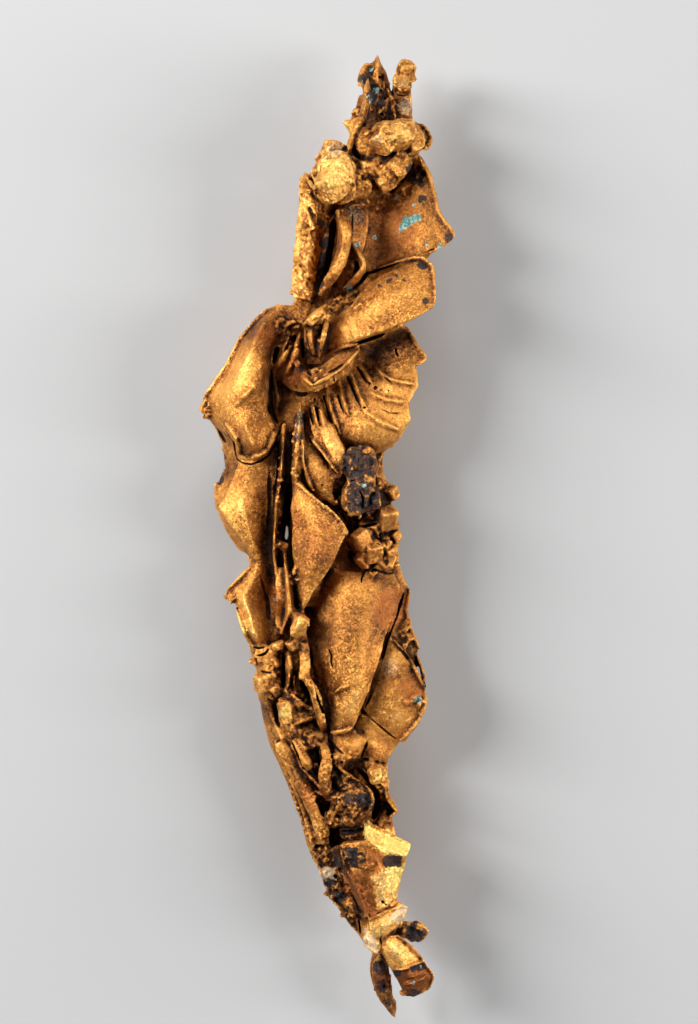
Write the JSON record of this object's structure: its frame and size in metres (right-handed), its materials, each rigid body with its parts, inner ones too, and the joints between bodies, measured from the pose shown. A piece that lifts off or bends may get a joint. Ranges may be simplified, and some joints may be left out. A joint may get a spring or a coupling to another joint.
{
  "type": "native copper specimen",
  "caption": "A long, narrow, leafy mass of native copper with curled sheets, ribs, nodules and small blocky crystals, for display on a shelf or as scattered ore.",
  "frame": {"origin": "on the plane the piece rests on, under the middle of its bounding box", "axes": "+Y along the length towards the upper tip with the gold nub, +Z up out of the leafy front, +X to the right as seen from above with +Y up"},
  "size_m": [0.0316, 0.1194, 0.0165],
  "materials": {
    "native_copper": "grainy golden-brown native copper with bright yellow crystal faces, reddish-brown hollows, near-black coating and small turquoise spots"
  },
  "bodies": {
    "root": {"copper_nugget": "native_copper"}
  },
  "joints": []
}
